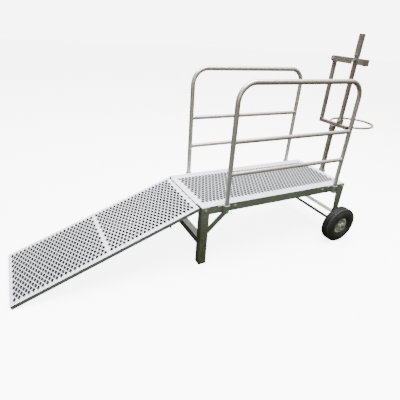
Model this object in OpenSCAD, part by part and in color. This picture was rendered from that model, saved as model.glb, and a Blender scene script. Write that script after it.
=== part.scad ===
// Goat milking stand: a perforated deck on angle legs, with a hinged ramp, two lift-out
// side rails, a pair of wheels at the head end and a head gate with a feed ring.
// Millimetres, +Z up, ground at z = 0. The animal walks along +X, and its left side is +Y.

/* [Deck] */
// Length of the deck, from the ramp's hinge line to the head end
deck_len = 1150; // [1000:10:1400]
// Width of the deck
deck_wid = 500; // [440:5:640]
// Height of the deck's top above the ground
deck_top = 405; // [360:5:520]
// Thickness of the perforated sheets
sheet_t = 2.5; // [1.5:0.5:3]
// Flange width of the angle along the deck's edges
rail_leg = 50; // [45:1:60]
// Thickness of that angle
rail_t = 5; // [4:0.5:8]
// Distance from the hinge line to the front bearer under the sheet
front_bearer = 234; // [210:2:300]
// Distance from the head end to the rear bearer under the sheet
bearer_inset = 205; // [180:5:300]
// Height of the bearers' web
bearer_h = 40; // [32:1:50]
// Width of the bearers' top flange and end cleats
bearer_wid = 40; // [34:1:60]
// Thickness of the bearers and of the bolted cleats
cleat_t = 5; // [3:0.5:8]

/* [Perforation] */
// Width of the diamond holes, along the deck
hole_wid = 17.5; // [12:0.5:20]
// Length of the diamond holes, across the deck
hole_len = 34; // [24:0.5:40]
// Distance between neighbouring holes along the deck
hole_pitch = 25.5; // [25:0.5:40]
// Distance between neighbouring holes across the deck
hole_rise = 50.5; // [50:0.5:80]
// From the deck's side to the first row of holes
deck_hole_side = 68; // [68:1:100]
// From the deck's ends to the first column of holes
deck_hole_end = 40; // [30:1:90]
// From the ramp's side to the first row of holes
ramp_hole_side = 37; // [30:1:80]
// From the ramp's upper edge to the first column of holes
ramp_hole_top = 31; // [20:1:80]
// From the ramp's toe to the first column of holes
ramp_hole_toe = 26; // [20:1:80]
// Plain strip across the middle of the ramp, between hole centres
ramp_strip = 36; // [28:1:90]

/* [Front legs] */
// Flange width of the front leg angle
leg_wid = 50; // [44:1:70]
// Thickness of that angle
leg_t = 5; // [4:0.5:8]
// Height of the underside of the cross member between the front legs
front_cross_z = 130; // [90:5:135]
// Flange width of the front cross member
front_cross_leg = 45; // [30:1:48]
// Thickness of both cross members
cross_t = 4; // [3:0.5:6]
// Height of the brace's foot, at the middle of the leg
brace_foot_z = 217; // [210:1:240]
// How far from there the brace meets the side rail's lower edge
brace_reach = 141; // [110:1:170]
// Width of the brace
brace_wid = 34; // [26:1:44]
// Thickness of the brace
brace_t = 6; // [4:0.5:8]
// Depth of the top bolts below the deck's top
bolt_drop = 20; // [19:1:26]

/* [Rear legs and axle] */
// Width of the rear leg at the deck
rear_leg_wid = 70; // [66:1:84]
// Width of the rear leg below its cross member, where it turns forward to the axle
rear_knee_wid = 42; // [40:1:56]
// Width of the rear leg at the axle
rear_leg_foot = 46; // [40:1:60]
// Thickness of the rear leg plate
rear_leg_t = 6; // [4:0.5:10]
// Distance of the axle from the head end
axle_inset = 66; // [50:1:80]
// Diameter of the axle
axle_d = 20; // [16:0.5:24]
// Height of the bolt of the cross member between the rear legs
rear_cross_z = 191; // [185:1:240]
// Flange width of the rear cross member
rear_cross_leg = 45; // [34:1:50]
// Depth of its web, which hangs from the flange's rear edge
rear_cross_web = 25; // [15:1:40]
// Depth of the flange's top below those bolts
rear_cross_drop = 20; // [14:1:24]
// Length of the spacer tube between leg and wheel hub
spacer_len = 52; // [20:1:80]

/* [Wheels] */
// Outer diameter of the tyre
wheel_d = 260; // [240:1:300]
// Width of the tyre
tyre_wid = 85; // [76:1:90]
// Thickness of the tyre's wall
tyre_wall = 9; // [6:0.5:12]
// Width of the tread band
tread_wid = 58; // [44:1:64]
// Diameter of the bead seat on the rim
seat_d = 104; // [96:1:112]
// Height of the rim's flange above its bead seat
flange_h = 6; // [5:0.5:8]
// Distance between the faces of the rim's two flanges
rim_wid = 44; // [40:1:50]
// Thickness of the pressed rim halves
rim_t = 2.5; // [2:0.5:4]
// Length of the hub
hub_len = 74; // [70:1:110]
// Outer diameter of the hub
hub_d = 52; // [50:1:56]
// Outer diameter of the bearings
bearing_d = 42; // [36:1:44]
// Width of each bearing
bearing_wid = 12; // [8:0.5:16]
// Diameter of the circle of rim bolts
rim_bolt_circle = 76; // [74:1:78]
// Diameter of the rim bolts
rim_bolt_d = 8; // [6:0.5:8]

/* [Side rails] */
// Outer diameter of the rail tube
tube_d = 28; // [27:0.5:34]
// Wall of the rail tube
tube_wall = 2.5; // [1.5:0.5:4]
// Distance of the first post from the hinge line
rail_first = 160; // [140:1:175]
// Distance of the second post from the head end
rail_last = 115; // [112:1:160]
// Height of the top tube's centre above the deck
rail_height = 690; // [560:5:900]
// Radius of the bends, along the tube's centre
bend_r = 100; // [60:5:150]
// Outer diameter of the two bars
bar_d = 26; // [16:0.5:26]
// Wall of the two bars
bar_wall = 2; // [1.5:0.5:4]
// Height of the low bar above the deck
low_bar = 195; // [120:5:260]
// Height of the middle bar above the deck
mid_bar = 385; // [300:5:460]
// Wall of the sockets that hold the posts
socket_wall = 4.5; // [3:0.5:6]
// Length of the sockets
socket_len = 50; // [42:1:54]
// Height of the sockets' rim above the deck
socket_rise = 2; // [0:0.5:6]
// Length of the flat ear beside each socket, from the post's centre
ear_len = 46; // [36:1:60]
// Thickness of the ear
ear_t = 6; // [5:0.5:8]

/* [Ramp] */
// Length of the ramp, from the hinge line to its toe
ramp_len = 1120; // [950:10:1130]
// Width of the ramp
ramp_wid = 480; // [420:5:500]
// Depth of the bars under the ramp's sheet
ramp_bar_h = 20; // [16:1:30]
// Thickness of the bars along the ramp's sides
ramp_side_t = 5; // [3:0.5:8]
// Wall of the square tubes across the ramp
ramp_tube_wall = 2; // [1.5:0.5:4]

/* [Hinge] */
// Outer diameter of the hinge barrel
barrel_d = 10; // [10:0.5:14]
// Diameter of the hinge pin
hinge_pin_d = 5; // [3:0.5:6]
// Thickness of the hinge leaves
leaf_t = 2; // [1.5:0.5:2]
// Width of each hinge leaf, from the pin's centre
leaf_wid = 30; // [24:1:45]
// Number of knuckles along the hinge
knuckle_n = 9; // [5:2:15]

/* [Head gate] */
// Side of the mast's square tube
mast_w = 26; // [24:1:40]
// Wall of the mast
mast_wall = 2.5; // [2:0.5:4]
// Wall of the mast's socket and of the sleeve under the crossbar
sleeve_wall = 3; // [3:0.5:6]
// Length of the mast's socket
mast_socket_len = 114; // [90:2:140]
// Height of the socket's rim above the deck
mast_socket_rise = 14; // [12:1:30]
// How far the mast reaches below the deck's top
mast_below = 190; // [150:5:250]
// Width of the plate that carries the mast's socket
mast_plate_wid = 110; // [80:2:160]
// Thickness of that plate
mast_plate_t = 6; // [4:0.5:10]
// Height of the crossbar's centre above the deck
gate_height = 360; // [300:5:450]
// Length of the crossbar
cross_len = 264; // [256:2:320]
// Side of the uprights' square tube
bar_w = 22; // [20:1:24]
// Wall of the uprights and of the crossbar
gate_wall = 2; // [1.5:0.5:3]
// Distance between the centres of the two uprights when the gate is shut
neck_gap = 176; // [150:2:200]
// Height of the latch's pivot above the crossbar's centre
latch_height = 422; // [380:1:500]
// Length of the latch, from its pivot to its end
latch_len = 298; // [280:2:330]
// Depth of the latch strap
latch_h = 38; // [34:1:44]
// Thickness of the latch strap
latch_t = 6; // [4:0.5:6]
// Length of the tab folded forward at the latch's end
latch_tab = 42; // [20:1:60]
// Height of the top of the moving upright above the crossbar's centre
grip_top = 581; // [540:1:680]
// Side of the square sleeve that forms the grip
grip_w = 27; // [27:1:34]
// Diameter of the feed ring, along the bar's centre
ring_d = 296; // [240:2:340]
// Diameter of the ring's bar
ring_bar_d = 16; // [10:0.5:18]
// Distance of the ring's centre beyond the crossbar
ring_out = 187; // [184:1:230]

/* [Fasteners and fits] */
// Diameter of the frame bolts
bolt_d = 8; // [8:0.5:12]
// Diameter of the bolts that hold the rail sockets
socket_bolt_d = 6; // [6:0.5:8]
// Play of a bolt in its hole, all round
bolt_play = 0.3; // [0.2:0.05:0.5]
// Running clearance of turning fits, all round
run_fit = 0.06; // [0.02:0.01:0.1]
// Clearance of sliding fits and between parts that move past each other, all round
slide_fit = 0.5; // [0.4:0.05:0.7]

/* [Hidden] */
$fn = 48;
hole_fn = 24;
left = 1;
right = -1;
front = 0;
rear = 1;

sheet_colour = "#DDE0E6";
frame_colour = "#6E766C";
tube_colour = "#8F918C";
gate_colour = "#87817A";
bright_colour = "#C9C9C4";
dark_colour = "#3A4030";
tyre_colour = "#1C1C1B";

// Heights and places of the deck frame
rail_top = deck_top - sheet_t;
rail_foot = rail_top - rail_leg;
half_wid = deck_wid / 2;
hinge_rise = barrel_d / 2 - leaf_t - sheet_t;
hinge_z = deck_top + hinge_rise;
edge_gap = 2;
deck_front = barrel_d / 2 + edge_gap;
flange_gap = 1;
inner_wid = deck_wid - 2 * rail_leg - 2 * flange_gap;

// Bolt rows: heads sit on the outer faces of what they clamp
leg_face = half_wid + leg_t;
rear_face = half_wid + rear_leg_t;
leg_bolt_x = deck_front + leg_wid / 2;
top_bolt_z = deck_top - bolt_drop;
rear_bearer_x = deck_len - bearer_inset;
bearer_x = [front_bearer, (front_bearer + rear_bearer_x) / 2, rear_bearer_x];
rear_bolt_in = 16;
rear_bolt_up = 18;
axle_x = deck_len - axle_inset;
axle_z = wheel_d / 2;
rear_cross_x = deck_len - rear_cross_leg / 2;
rear_knee_z = rear_cross_z - rear_cross_leg / 2 - edge_gap;
head_h = 0.64;
nut_h = 0.8;
hex_d = 1.96;
tail = 3;
// Each frame bolt: x, z, distance of the head's seat from the middle plane, and what it clamps
frame_bolt_list = [
    [leg_bolt_x, top_bolt_z, leg_face, leg_t + rail_t],
    [front_bearer, top_bolt_z, half_wid, rail_t + cleat_t],
    [rear_bearer_x, top_bolt_z, half_wid, rail_t + cleat_t],
    [deck_len - rear_bolt_in, deck_top - rear_bolt_up, rear_face, rear_leg_t + rail_t],
    [rear_cross_x, rear_cross_z, rear_face, rear_leg_t + cleat_t],
];

// Wheels and axle
axial_play = 0.4;
washer_t = 3;
washer_d = 1.8 * axle_d;
spacer_d = axle_d + 10;
pin_d = 4;
pin_room = 6;
wheel_y = rear_face + spacer_len + axial_play + hub_len / 2;
washer_y = wheel_y + hub_len / 2 + axial_play;
pin_y = washer_y + washer_t + pin_d / 2 + axial_play;
axle_end = pin_y + pin_room;
section_r = wheel_d / 2 - tyre_wid / 2;
tread_h = 14;
groove_h = 4;
groove_wid = 4;
groove_step = 13;
bead_gap = rim_wid - 10;
flange_d = seat_d + 2 * flange_h;

// Side rails and sockets
socket_bore = tube_d + 2 * slide_fit;
socket_d = socket_bore + 2 * socket_wall;
weld_gap = 0.2;
rail_y = half_wid + socket_d / 2 + weld_gap;
socket_foot = deck_top + socket_rise - socket_len;
socket_bolt_up = 8;
socket_bolt_z = socket_foot + socket_bolt_up;
post_foot = socket_bolt_z + socket_bolt_d / 2 + axial_play;
rail_z = deck_top + rail_height;
rail_post_x = [rail_first, deck_len - rail_last];
rail_span = rail_post_x[rear] - rail_post_x[front];
cope_gap = 0.15;
ear_round = 12;
ear_low = 6;

// Ramp: built level along -X from the hinge line, then let down until its toe meets the ground
ramp_top = -hinge_rise;
ramp_under = ramp_top - sheet_t;
ramp_foot = ramp_under - ramp_bar_h;
ramp_drop = asin(hinge_z / norm([ramp_len, ramp_foot])) - atan(-ramp_foot / ramp_len);
ramp_half = ramp_wid / 2;
toe_inset = 8;
hinge_wid = min(inner_wid, ramp_wid - 2 * ramp_side_t - 2 * flange_gap) - 2 * flange_gap;
knuckle_gap = 0.5;
knuckle_step = hinge_wid / knuckle_n;

// Head gate
mast_bore = mast_w + 2 * slide_fit;
sleeve_w = mast_bore + 2 * sleeve_wall;
gate_x = deck_len + mast_plate_t + sleeve_w / 2;
cross_z = deck_top + gate_height;
cross_w = bar_w + 2 * slide_fit;
cross_top = cross_z + cross_w / 2;
sleeve_len = 40;
fixed_y = cross_len / 2 - bar_w / 2;
moving_y = fixed_y - neck_gap;
ear_plate_t = 5;
ear_plate_r = 15;
pivot_up = 22;
pivot_z = cross_top + pivot_up;
bar_foot = pivot_z - 17;
grip_bolt_d = 6;
base_bolt_d = 6;
latch_z = cross_z + latch_height;
latch_face = grip_w / 2 + head_h * grip_bolt_d + 1.2;
latch_strip = 12;
notch_near = 12;
notch_far = 40;
latch_end_y = fixed_y - latch_len;
latch_under = latch_z - latch_h / 2;
notch_top = latch_z + latch_h / 2 - latch_strip;
latch_pin_z = notch_top - bolt_d / 2 - slide_fit;
grip_foot = latch_z + latch_h / 2 + 6;
grip_z = cross_z + grip_top;
grip_cap = 3;
grip_bolt_up = 14;
base_bolt_up = [10, 32];
lock_z = deck_top + mast_socket_rise - 12;
lock_boss = 10;
ring_tongue_wid = 44;
ring_tongue_t = 8;
ring_drop = (cross_w - ring_tongue_t) / 2 - weld_gap;
ring_x = gate_x + ring_out;
ring_z = cross_z - ring_drop;

// The frame's middle lies halfway between the ramp's toe and the feed ring
toe_x = -ramp_len * cos(ramp_drop) - ramp_top * sin(ramp_drop);
tip_x = ring_x + ring_d / 2 + ring_bar_d / 2;
mid_x = (toe_x + tip_x) / 2;

// Helpers

// Moves the stand from its hinge line to the frame's middle
module stand() {
    translate([-mid_x, 0, 0]) children();
}

// Draws on the left side, or mirrors to the right
module on_side(side) {
    if (side == left) children();
    else mirror([0, 1, 0]) children();
}

module slab(low, high) {
    translate(low) cube(high - low);
}

module pipe(d, wall, len) {
    difference() {
        cylinder(d = d, h = len);
        translate([0, 0, -1]) cylinder(d = d - 2 * wall, h = len + 2);
    }
}

module square_pipe(w, wall, len) {
    linear_extrude(len) difference() {
        square(w, center = true);
        square(w - 2 * wall, center = true);
    }
}

// A flat outline in the XZ plane, t thick from y on
module plate_xz(y, t) {
    translate([0, y + t, 0]) rotate([90, 0, 0]) linear_extrude(t) children();
}

// A flat outline in the YZ plane, t thick from x on
module plate_yz(x, t) {
    translate([x, 0, 0]) rotate([90, 0, 90]) linear_extrude(t) children();
}

// A hexagon bolt along -Z, with its head on z = 0
module bolt(d, reach) {
    cylinder(d = hex_d * d, h = head_h * d, $fn = 6);
    translate([0, 0, -reach]) cylinder(d = d, h = reach + head_h * d / 2);
}

// A hexagon nut from z = 0 down
module nut(d) {
    translate([0, 0, -nut_h * d]) difference() {
        cylinder(d = hex_d * d, h = nut_h * d, $fn = 6);
        translate([0, 0, -1]) cylinder(d = d + 2 * run_fit, h = nut_h * d + 2);
    }
}

// Staggered holes over a field len long from x = 0, and wid wide about y = 0
module hole_field(len, wid) {
    row_step = hole_rise / 2;
    rows = floor(wid / row_step);
    half_steps = floor(2 * len / hole_pitch);
    start = (len - half_steps * hole_pitch / 2) / 2;
    for (r = [0 : rows], c = [0 : floor((half_steps - r % 2) / 2)])
        translate([start + (c + (r % 2) / 2) * hole_pitch, (r - rows / 2) * row_step])
            polygon([[-hole_wid / 2, 0], [0, -hole_len / 2], [hole_wid / 2, 0], [0, hole_len / 2]]);
}

// Holes for the frame bolts of the left side
module frame_bolt_holes() {
    for (b = frame_bolt_list)
        translate([b[0], b[2] - b[3] - 1, b[1]]) rotate([-90, 0, 0])
            cylinder(d = bolt_d + 2 * bolt_play, h = b[3] + 2);
}

// Deck

module deck_plate() {
    color(sheet_colour) stand() translate([0, 0, rail_top]) linear_extrude(sheet_t) difference() {
        translate([deck_front, -half_wid]) square([deck_len - deck_front, deck_wid]);
        translate([deck_front + deck_hole_end, 0])
            hole_field(deck_len - deck_front - 2 * deck_hole_end, deck_wid - 2 * deck_hole_side);
    }
}

module side_rail(side) {
    color(frame_colour) stand() on_side(side) difference() {
        union() {
            slab([deck_front, half_wid - rail_t, rail_foot], [deck_len, half_wid, rail_top]);
            slab([deck_front, half_wid - rail_leg, rail_top - rail_t], [deck_len, half_wid, rail_top]);
        }
        frame_bolt_holes();
        for (x = rail_post_x)
            translate([x, 0, socket_bolt_z]) rotate([-90, 0, 0])
                cylinder(d = socket_bolt_d + 2 * bolt_play, h = deck_wid);
    }
}

// An angle across the deck: its web fits between the side rails, and its top flange,
// which runs from the web at x = 0 to x = flange, between their flanges
module cross_angle(web_h, t, flange, drop) {
    reach = half_wid - rail_t;
    slab([min(0, sign(flange) * t), -reach, rail_top - rail_t - web_h],
         [max(0, sign(flange) * t), reach, rail_top - rail_t - drop]);
    slab([min(0, flange), -inner_wid / 2, rail_top - rail_t - drop],
         [max(0, flange), inner_wid / 2, rail_top - drop]);
}

module front_end_rail() {
    color(frame_colour) stand() translate([deck_front, 0, 0])
        cross_angle(rail_leg - rail_t, rail_t, rail_leg, leaf_t);
}

module rear_end_rail() {
    color(frame_colour) stand() translate([deck_len, 0, 0])
        cross_angle(rail_leg - rail_t, rail_t, -rail_leg, 0);
}

module deck_bearers() {
    color(frame_colour) stand() for (x = bearer_x) difference() {
        translate([x - bearer_wid / 2, 0, 0]) {
            cross_angle(bearer_h, cleat_t, bearer_wid, 0);
            for (side = [left, right]) on_side(side)
                slab([0, half_wid - rail_t - cleat_t, rail_top - rail_t - bearer_h],
                     [bearer_wid, half_wid - rail_t, rail_top - rail_t]);
        }
        for (side = [left, right]) on_side(side) frame_bolt_holes();
    }
}

// Legs and braces

module front_leg(side) {
    color(frame_colour) stand() on_side(side) difference() {
        union() {
            slab([deck_front, half_wid, 0], [deck_front + leg_wid, leg_face, rail_top]);
            slab([deck_front, leg_face - leg_wid, 0], [deck_front + leg_t, leg_face, rail_foot]);
        }
        frame_bolt_holes();
    }
}

module front_cross_member() {
    back = deck_front + leg_t;
    top = front_cross_z + front_cross_leg;
    color(bright_colour) stand() {
        slab([back, -half_wid, front_cross_z], [back + cross_t, half_wid, top]);
        slab([back, -half_wid, top - cross_t], [back + front_cross_leg, half_wid, top]);
    }
}

// Welded behind the leg and under the side rail
module front_brace(side) {
    rise = rail_foot - brace_foot_z;
    len = norm([brace_reach, rise]) + brace_wid;
    color(frame_colour) stand() on_side(side) plate_xz(half_wid - brace_t, brace_t) intersection() {
        translate([leg_bolt_x, brace_foot_z]) rotate(atan2(rise, brace_reach)) {
            translate([0, -brace_wid / 2]) square([len, brace_wid]);
            circle(d = brace_wid);
        }
        translate([deck_front + leg_t, 0]) square([deck_len, rail_foot]);
    }
}

// Washers at the axle's ends
module frame_washers() {
    color(bright_colour) for (side = [left, right]) on_axle(side) translate([0, 0, washer_y])
        pipe(washer_d, washer_d / 2 - axle_d / 2 - bolt_play, washer_t);
}

module rear_leg(side) {
    color(frame_colour) stand() on_side(side) difference() {
        plate_xz(half_wid, rear_leg_t) difference() {
            polygon([
                [deck_len - rear_leg_wid, rail_top], [deck_len, rail_top], [deck_len, rear_knee_z],
                [axle_x + rear_leg_foot / 2, axle_z], [axle_x + rear_leg_foot / 2, axle_z - rear_leg_foot / 2],
                [axle_x - rear_leg_foot / 2, axle_z - rear_leg_foot / 2], [axle_x - rear_leg_foot / 2, axle_z],
                [deck_len - rear_knee_wid, rear_knee_z],
            ]);
            translate([axle_x, axle_z]) circle(d = axle_d + 2 * bolt_play);
        }
        frame_bolt_holes();
    }
}

module rear_cross_member() {
    x = rear_cross_x - rear_cross_leg / 2;
    top = rear_cross_z - rear_cross_drop;
    back = x + rear_cross_leg;
    color(bright_colour) stand() difference() {
        union() {
            slab([x, -half_wid, top - cross_t], [back, half_wid, top]);
            slab([back - cross_t, -half_wid, top - rear_cross_web], [back, half_wid, top]);
            for (side = [left, right]) on_side(side)
                slab([x, half_wid - cleat_t, top - cross_t], [back, half_wid, rear_cross_z + rear_cross_drop]);
        }
        for (side = [left, right]) on_side(side) frame_bolt_holes();
    }
}

module frame_bolts() {
    color(bright_colour) stand() for (side = [left, right]) on_side(side) {
        for (b = frame_bolt_list)
            translate([b[0], b[2], b[1]]) rotate([-90, 0, 0]) bolt(bolt_d, b[3] + nut_h * bolt_d + tail);
        for (x = rail_post_x)
            translate([x, rail_y + socket_d / 2, socket_bolt_z]) rotate([-90, 0, 0])
                bolt(socket_bolt_d, socket_d + weld_gap + rail_t + nut_h * socket_bolt_d + tail);
    }
}

module frame_nuts() {
    color(bright_colour) stand() for (side = [left, right]) on_side(side) {
        for (b = frame_bolt_list)
            translate([b[0], b[2] - b[3], b[1]]) rotate([-90, 0, 0]) nut(bolt_d);
        for (x = rail_post_x)
            translate([x, half_wid - rail_t, socket_bolt_z]) rotate([-90, 0, 0]) nut(socket_bolt_d);
    }
}

// Axle and wheels

// Draws along the axle, from its middle outwards to the left or right end
module on_axle(side) {
    stand() on_side(side) translate([axle_x, 0, axle_z]) rotate([-90, 0, 0]) children();
}

module axle() {
    color(dark_colour) difference() {
        stand() translate([axle_x, 0, axle_z]) rotate([90, 0, 0])
            cylinder(d = axle_d, h = 2 * axle_end, center = true);
        for (side = [left, right]) on_axle(side) translate([0, 0, pin_y]) rotate([90, 0, 0])
            cylinder(d = pin_d + 2 * run_fit, h = 2 * axle_d, center = true);
    }
}

module axle_spacers() {
    color(bright_colour) for (side = [left, right]) on_axle(side) translate([0, 0, rear_face])
        pipe(spacer_d, spacer_d / 2 - axle_d / 2 - bolt_play, spacer_len);
}

module axle_pins() {
    color(bright_colour) for (side = [left, right]) on_axle(side) translate([0, 0, pin_y]) {
        rotate([90, 0, 0]) cylinder(d = pin_d, h = 1.7 * axle_d, center = true);
        translate([0, -0.85 * axle_d - pin_d, 0])
            rotate_extrude() translate([1.2 * pin_d, 0]) circle(d = pin_d / 1.6);
    }
}

// Draws at a wheel's middle, with +Z pointing outwards
module on_wheel(side) {
    on_axle(side) translate([0, 0, wheel_y]) children();
}

module tyre(side) {
    side_cut = flange_d / 2 + slide_fit;
    color(tyre_colour) on_wheel(side) rotate_extrude($fn = 96) difference() {
        union() {
            translate([section_r, 0]) circle(d = tyre_wid);
            translate([wheel_d / 2 - tread_h, -tread_wid / 2]) square([tread_h, tread_wid]);
            translate([seat_d / 2, -rim_wid / 2]) square([section_r - seat_d / 2, rim_wid]);
        }
        translate([section_r, 0]) circle(d = tyre_wid - 2 * tyre_wall);
        translate([0, -tyre_wid]) square([seat_d / 2 + run_fit, 2 * tyre_wid]);
        translate([0, -bead_gap / 2]) square([section_r, bead_gap]);
        for (y = [-tyre_wid - rim_wid / 2, rim_wid / 2]) translate([0, y]) square([side_cut, tyre_wid]);
        for (k = [-1 : 1]) translate([wheel_d / 2 - groove_h, k * groove_step - groove_wid / 2])
            square([2 * groove_h, groove_wid]);
    }
}

// One pressed half of the rim, on the side towards +Z
module rim_half() {
    seat_r = seat_d / 2;
    edge = rim_wid / 2;
    difference() {
        rotate_extrude() polygon([
            [hub_d / 2 + run_fit, 0], [seat_r, 0], [seat_r, edge], [flange_d / 2, edge],
            [flange_d / 2, edge + rim_t], [seat_r - rim_t, edge + rim_t], [seat_r - rim_t, rim_t],
            [hub_d / 2 + run_fit, rim_t],
        ]);
        at_rim_bolts() translate([0, 0, -1]) cylinder(d = rim_bolt_d + 2 * run_fit, h = rim_t + 2);
    }
}

module at_rim_bolts() {
    for (a = [45 : 90 : 315]) rotate(a) translate([rim_bolt_circle / 2, 0, 0]) children();
}

module rim_outer(side) {
    color(bright_colour) on_wheel(side) rim_half();
}

module rim_inner(side) {
    color(bright_colour) on_wheel(side) mirror([0, 0, 1]) rim_half();
}

module hub(side) {
    color(bright_colour) on_wheel(side) difference() {
        cylinder(d = hub_d, h = hub_len, center = true);
        cylinder(d = (axle_d + bearing_d) / 2, h = hub_len + 2, center = true);
        for (z = [-hub_len / 2 - 1, hub_len / 2 - bearing_wid])
            translate([0, 0, z]) cylinder(d = bearing_d, h = bearing_wid + 1);
    }
}

module bearings(side) {
    color(bright_colour) on_wheel(side) for (z = [-hub_len / 2, hub_len / 2 - bearing_wid])
        translate([0, 0, z])
            pipe(bearing_d - 2 * run_fit, bearing_d / 2 - axle_d / 2 - 2 * run_fit, bearing_wid);
}

module rim_bolts(side) {
    color(dark_colour) on_wheel(side) at_rim_bolts() {
        translate([0, 0, rim_t]) bolt(rim_bolt_d, 2 * rim_t + nut_h * rim_bolt_d + tail);
        translate([0, 0, -rim_t]) nut(rim_bolt_d);
    }
}

// Side rails

module rail_sockets(side) {
    color(tube_colour) stand() on_side(side) for (x = rail_post_x) translate([x, 0, 0]) difference() {
        union() {
            translate([0, rail_y, socket_foot]) cylinder(d = socket_d, h = socket_len);
            plate_xz(half_wid, ear_t) translate([-ear_len, socket_foot + ear_low]) ear_outline();
        }
        translate([0, rail_y, socket_foot - 1]) cylinder(d = socket_bore, h = socket_len + 2);
        translate([0, 0, socket_bolt_z]) rotate([-90, 0, 0])
            cylinder(d = socket_bolt_d + 2 * bolt_play, h = deck_wid);
    }
}

// The ear's outline, with a rounded upper corner
module ear_outline() {
    h = socket_len - 2 * ear_low;
    square([ear_len, h - ear_round]);
    translate([ear_round, 0]) square([ear_len - ear_round, h]);
    translate([ear_round, h - ear_round]) circle(r = ear_round);
}

// Draws in the plane of a rail, at the hinge line
module on_rail(side) {
    stand() on_side(side) translate([0, rail_y, 0]) children();
}

module bend() {
    rotate([90, 0, 0]) rotate_extrude(angle = 90) translate([bend_r, 0]) difference() {
        circle(d = tube_d);
        circle(d = tube_d - 2 * tube_wall);
    }
}

module rail_hoop(side) {
    bend_z = rail_z - bend_r;
    color(tube_colour) on_rail(side) {
        for (x = rail_post_x) translate([x, 0, post_foot]) pipe(tube_d, tube_wall, bend_z - post_foot);
        translate([rail_post_x[rear] - bend_r, 0, bend_z]) bend();
        translate([rail_post_x[front] + bend_r, 0, bend_z]) mirror([1, 0, 0]) bend();
        translate([rail_post_x[front] + bend_r, 0, rail_z]) rotate([0, 90, 0])
            pipe(tube_d, tube_wall, rail_span - 2 * bend_r);
    }
}

// A bar between the posts, coped to them, at a height above the deck
module rail_bar(side, height) {
    color(tube_colour) on_rail(side) translate([0, 0, deck_top + height]) difference() {
        translate([rail_post_x[front], 0, 0]) rotate([0, 90, 0]) pipe(bar_d, bar_wall, rail_span);
        for (x = rail_post_x) translate([x, 0, 0])
            cylinder(d = tube_d + 2 * cope_gap, h = 2 * bar_d, center = true);
    }
}

// Hinge and ramp

// Draws about the hinge line, level with the deck
module on_hinge() {
    stand() translate([0, 0, hinge_z]) children();
}

// Draws about the hinge line, along the ramp at rest, which runs towards -X
module on_ramp() {
    on_hinge() rotate([0, -ramp_drop, 0]) children();
}

// A leaf towards +X with its knuckles, which take every second place along the hinge
module hinge_leaf(first) {
    clear = barrel_d / 2 + edge_gap / 2;
    half = hinge_wid / 2;
    difference() {
        union() {
            slab([clear, -half, -barrel_d / 2], [leaf_wid, half, -barrel_d / 2 + leaf_t]);
            for (k = [first : 2 : knuckle_n - 1]) translate([0, k * knuckle_step - half, 0]) {
                slab([0, knuckle_gap / 2, -barrel_d / 2], [clear, knuckle_step - knuckle_gap / 2,
                     -barrel_d / 2 + leaf_t]);
                translate([0, knuckle_gap / 2, 0]) rotate([-90, 0, 0])
                    cylinder(d = barrel_d, h = knuckle_step - knuckle_gap);
            }
        }
        rotate([90, 0, 0]) cylinder(d = hinge_pin_d + 2 * run_fit, h = hinge_wid + 2, center = true);
    }
}

module deck_hinge_leaf() {
    color(bright_colour) on_hinge() hinge_leaf(front);
}

module ramp_hinge_leaf() {
    color(bright_colour) on_ramp() mirror([1, 0, 0]) hinge_leaf(rear);
}

module hinge_pin() {
    color(dark_colour) on_hinge() rotate([90, 0, 0])
        cylinder(d = hinge_pin_d, h = hinge_wid, center = true);
}

module ramp_plate() {
    panel = (ramp_len - deck_front - ramp_hole_top - ramp_hole_toe - ramp_strip) / 2;
    field_wid = ramp_wid - 2 * ramp_hole_side;
    color(sheet_colour) on_ramp() translate([0, 0, ramp_under]) linear_extrude(sheet_t) difference() {
        translate([-ramp_len, -ramp_half]) square([ramp_len - deck_front, ramp_wid]);
        translate([-ramp_len + ramp_hole_toe, 0]) hole_field(panel, field_wid);
        translate([-deck_front - ramp_hole_top - panel, 0]) hole_field(panel, field_wid);
    }
}

module ramp_side(side) {
    color(frame_colour) on_ramp() on_side(side)
        slab([-ramp_len, ramp_half - ramp_side_t, ramp_foot], [-deck_front - edge_gap, ramp_half, ramp_under]);
}

// A square tube between the ramp's sides, centred on x and under the height top
module ramp_tube(x, top) {
    h = top - ramp_foot;
    color(frame_colour) on_ramp() translate([x, 0, top - h / 2]) rotate([90, 0, 0])
        linear_extrude(ramp_wid - 2 * ramp_side_t, center = true) difference() {
            square(h, center = true);
            square(h - 2 * ramp_tube_wall, center = true);
        }
}

module ramp_top_bar() {
    ramp_tube(-deck_front - edge_gap - ramp_bar_h / 2, ramp_under - leaf_t);
}

module ramp_centre_bar() {
    ramp_tube(-(ramp_len + deck_front) / 2, ramp_under);
}

module ramp_toe_bar() {
    ramp_tube(-ramp_len + toe_inset + ramp_bar_h / 2, ramp_under);
}

// Head gate

module mast_socket() {
    top = deck_top + mast_socket_rise;
    color(frame_colour) stand() difference() {
        union() {
            slab([deck_len, -mast_plate_wid / 2, top - mast_socket_len],
                 [deck_len + mast_plate_t, mast_plate_wid / 2, deck_top]);
            translate([gate_x, 0, top - mast_socket_len]) linear_extrude(mast_socket_len)
                square(sleeve_w, center = true);
            translate([gate_x, -sleeve_w / 2 + 1, lock_z]) rotate([90, 0, 0])
                cylinder(d = hex_d * bolt_d, h = lock_boss + 1, $fn = 6);
        }
        translate([gate_x, 0, top - mast_socket_len - 1]) linear_extrude(mast_socket_len + 2)
            square(mast_bore, center = true);
        translate([gate_x, 0, lock_z]) rotate([90, 0, 0])
            cylinder(d = bolt_d + 2 * run_fit, h = sleeve_w + lock_boss);
    }
}

module mast_lock_screw() {
    reach = lock_boss + sleeve_wall + slide_fit - bolt_play;
    color(dark_colour) stand() translate([gate_x, -sleeve_w / 2 - lock_boss, lock_z]) rotate([90, 0, 0])
        bolt(bolt_d, reach);
}

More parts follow.
